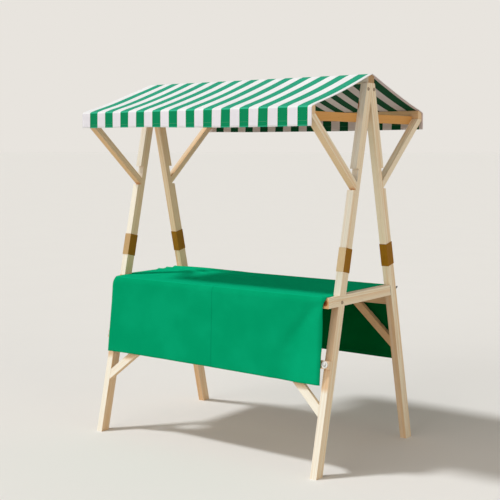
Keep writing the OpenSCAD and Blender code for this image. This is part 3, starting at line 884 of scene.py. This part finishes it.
def cloth_line(x):
    """The tablecloth's outer line at x, from the front hem over the counter to the back hem."""
    skin = CLOTH_GAP + CLOTH_T
    low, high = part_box("tablecloth")
    boards_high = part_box("counter_boards")[1]
    rail_low, rail_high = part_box("back_rail")
    top = boards_high.z + skin
    back = boards_high.y + skin
    depth, height = fold_size(x)
    fold_z = top - height
    line = [(DROP_Y, z) for z in np.linspace(low.z, fold_z, DROP_STEPS + 1)[:-1]]
    for turn in np.linspace(0, math.pi / 2, FOLD_STEPS + 1):
        line.append((DROP_Y + depth * (1 - math.cos(turn)), fold_z + height * math.sin(turn)))
    line += [(y, top) for y in np.linspace(DROP_Y + depth, back - BACK_FOLD_R, TOP_STEPS + 1)[1:-1]]

    rail_y = rail_high.y + leg_grain(1).y * (rail_high.z - rail_low.z) + skin
    rail_top = rail_high.z + skin
    drop = math.degrees(math.atan2(rail_top - top + BACK_FOLD_R, rail_y - back + BACK_FOLD_R))
    line += arc((back - BACK_FOLD_R, top - BACK_FOLD_R), BACK_FOLD_R, 90, 90 + drop, 6)
    hem_y = high.y - BACK_INSET
    stops = [line[-1], (rail_y, rail_top), (hem_y, low.z + BACK_HEM), (hem_y, low.z)]
    for start, end, count in zip(stops, stops[1:], BACK_STEPS):
        line += [tuple(point) for point in np.linspace(start, end, count + 1)[1:]]
    return np.array(line)


def drop_out(x, z, left_x, right_x):
    """How far the front drop stands out of its plane."""
    hang = smooth(z, *HANG_BORDER)
    out = hang * (DROP_WAVE * wave(x, z * 0.25, 4.2, 5.0) + DROP_RIPPLE * wave(x, z * 0.4, 11.0, 6.0))
    trough_x = read_off(TROUGH, z)
    depth = TROUGH_DEPTH * smooth(z, *TROUGH_BORDER) * (1 - SHALLOW_SHARE * smooth(z, *SHALLOW_BORDER))
    out -= depth * bell(x - trough_x, TROUGH_WIDTH)
    out += BULGE_DEPTH * hang * bell(x - (trough_x + right_x) / 2, BULGE_WIDTH)
    pressed = PRESSED_DEPTH * (1 + smooth(z, *PRESSED_BORDER))
    out -= pressed * hang * smooth(x, right_x - PRESSED_WIDTH, right_x) ** 1.5
    out -= CREASE_DEPTH * hang * bell(x - CREASE[0] - CREASE[1] * z, CREASE_WIDTH)
    flare = max(0.0, 1 - (x - left_x) / FLARE_WIDTH) ** 2
    out += FLARE_DEPTH * flare * max(0.0, (FOLD_FOOT - z) / FLARE_HEIGHT) ** 1.5
    return max(out, -RAIL_GAP - ABOVE_RAIL_GAP * smooth(z, *RAIL_BORDER))


def top_lift(x, y):
    """How far the cloth stands off the counter, inside its front and back edges."""
    near_left = smooth(x, *LEFT_BORDER)
    lift = 0.0
    for fold_y, width, height in TOP_FOLDS:
        wander = fold_y + FOLD_WANDER * wave(x, fold_y, 2.2, 7.0)
        lift += height * bell(y - wander, width) * near_left * (0.75 + 0.5 * wave(x, fold_y, 5.0, 8.0))
    inside = smooth(y, *FRONT_BORDER) * smooth(y, *BACK_BORDER)
    return inside * (max(0.0, lift) + TOP_RIPPLE * max(0.0, wave(x, y * 1.6, 6.0, 9.0)))


def cloth_edges(y, z):
    """The left and right X: by height on the front drop and its fold, and elsewhere by the place across."""
    if y < LEFT_TOP[0][0]:
        return read_off(LEFT_DROP, z), read_off(RIGHT_DROP, z)
    return read_off(LEFT_TOP, y), read_off(RIGHT_TOP, y)


def cloth_surface(low, high, lines, shares):
    """The tablecloth's outer surface and its thickness, for shares of the way from left edge to right."""
    grid = np.zeros((len(shares), len(lines[0]), 3))
    thickness = np.zeros(grid.shape[:2])
    back_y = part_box("counter_boards")[1].y
    for i, share in enumerate(shares):
        for j, (y, z) in enumerate(lines[i]):
            left_x, right_x = cloth_edges(y, z)
            x = left_x + share * (right_x - left_x)
            dy = dz = 0.0
            if y < DROP_Y + DROP_REACH:
                dy = -drop_out(x, z, left_x, right_x)
                dz = -read_off(HEM_SAG, x) * smooth(z, *SAG_BORDER)
            elif y > back_y:
                hang = (high.z - z) / (high.z - low.z)
                dy = BACK_WAVE * hang * (0.6 + 0.6 * wave(x, z * 0.3, 4.0, 9.0))
            else:
                dz = top_lift(x, y)
            grid[i, j] = (x, y + dy, z + dz)
            from_edge = min(x - left_x, right_x - x, max(0.0, z - low.z))
            thickness[i, j] = CLOTH_T + hem_extra(from_edge, CLOTH_HEM, CLOTH_HEM_EXTRA)
    return grid, thickness


def tablecloth():
    low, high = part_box("tablecloth")
    shares = columns(0.0, 1.0, CLOTH_COLUMN, CLOTH_EDGE)
    left_fold, right_fold = LEFT_TOP[0][1], RIGHT_TOP[0][1]
    lines = [cloth_line(left_fold + share * (right_fold - left_fold)) for share in shares]
    grid, thickness = cloth_surface(low, high, lines, shares)
    outside = green_cotton("green_cotton", *GREEN_OUTSIDE)
    # The inside is painted darker, as shade
    inside = green_cotton("green_cotton_inside_shaded", *SHADED_GREEN_INSIDE)
    piece = sheet_piece("table_cloth_cover", grid, thickness, outside, inside)
    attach(piece, "root")
    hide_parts("tablecloth")


# Setting: camera, floor, world and lamps
FLOOR_COLOR = rgb(234, 232, 228)
FLOOR_HALF = 900.0
BACKDROP_COLOR = rgb(232, 228, 222)
WORLD_COLOR = (1.0, 0.95, 0.88, 1.0)
WORLD_STRENGTH = 0.30

# Each lamp's name, the direction that its light comes from, strength, width in degrees, and colour
LAMPS = (
    ("key", (-0.45, -0.345, 1.0), 1.9, 7.0, (0.96, 0.98, 1.0)),
    ("front_fill", (-0.15, -0.93, 0.33), 1.22, 50.0, (1.0, 0.97, 0.92)),
    ("side_fill", (0.95, -0.22, 0.17), 0.62, 36.0, (1.0, 0.84, 0.66)),
)


def place_camera():
    camera = bpy.data.objects.new("camera", bpy.data.cameras.new("camera"))
    camera.data.lens = CAMERA_LENS
    camera.data.sensor_width = 36.0
    camera.data.clip_end = 2000.0
    camera.location = CAMERA_PLACE
    camera.rotation_euler = (math.radians(90 + CAMERA_TILT), 0, math.radians(CAMERA_TURN))
    bpy.context.scene.collection.objects.link(camera)
    bpy.context.scene.camera = camera


def lay_floor():
    paint = Paint("pale_floor", Roughness=0.95, Specular_IOR_Level=0.0)
    paint.set("Base Color", paint.shade(FLOOR_COLOR, paint.noise(paint.place, 1.5, 3.0), 0.02))
    mesh = bpy.data.meshes.new("floor")
    corners = [(x * FLOOR_HALF, y * FLOOR_HALF, 0) for x, y in ((-1, -1), (1, -1), (1, 1), (-1, 1))]
    mesh.from_pydata(corners, [], [(0, 1, 2, 3)])
    mesh.materials.append(paint.material)
    add_object("floor", mesh)


def light_world():
    """Soft even light from all round, with the floor's tone where the camera or a reflection sees it."""
    world = bpy.data.worlds.new("studio")
    bpy.context.scene.world = world
    world.use_nodes = True
    tree = world.node_tree
    tree.nodes.clear()
    light = tree.nodes.new("ShaderNodeBackground")
    light.inputs["Color"].default_value = WORLD_COLOR
    light.inputs["Strength"].default_value = WORLD_STRENGTH
    seen = tree.nodes.new("ShaderNodeBackground")
    seen.inputs["Color"].default_value = BACKDROP_COLOR
    path = tree.nodes.new("ShaderNodeLightPath")
    either = tree.nodes.new("ShaderNodeMath")
    either.operation = "MAXIMUM"
    tree.links.new(path.outputs["Is Camera Ray"], either.inputs[0])
    tree.links.new(path.outputs["Is Glossy Ray"], either.inputs[1])
    mix = tree.nodes.new("ShaderNodeMixShader")
    tree.links.new(either.outputs[0], mix.inputs[0])
    tree.links.new(light.outputs[0], mix.inputs[1])
    tree.links.new(seen.outputs[0], mix.inputs[2])
    output = tree.nodes.new("ShaderNodeOutputWorld")
    tree.links.new(mix.outputs[0], output.inputs["Surface"])


def hang_lamp(name, source, strength, width, color):
    """A far lamp whose light comes from the direction source."""
    lamp = bpy.data.objects.new(name, bpy.data.lights.new(name, "SUN"))
    lamp.data.energy = strength
    lamp.data.color = color
    lamp.data.angle = math.radians(width)
    lamp.rotation_euler = Vector(source).to_track_quat("Z", "Y").to_euler()
    bpy.context.scene.collection.objects.link(lamp)


place_camera()
dress_timbers()
dress_bands()
dress_hardware()
canopy()
tablecloth()
lay_floor()
light_world()
for lamp_values in LAMPS:
    hang_lamp(*lamp_values)
bpy.context.scene.view_settings.view_transform = "Standard"
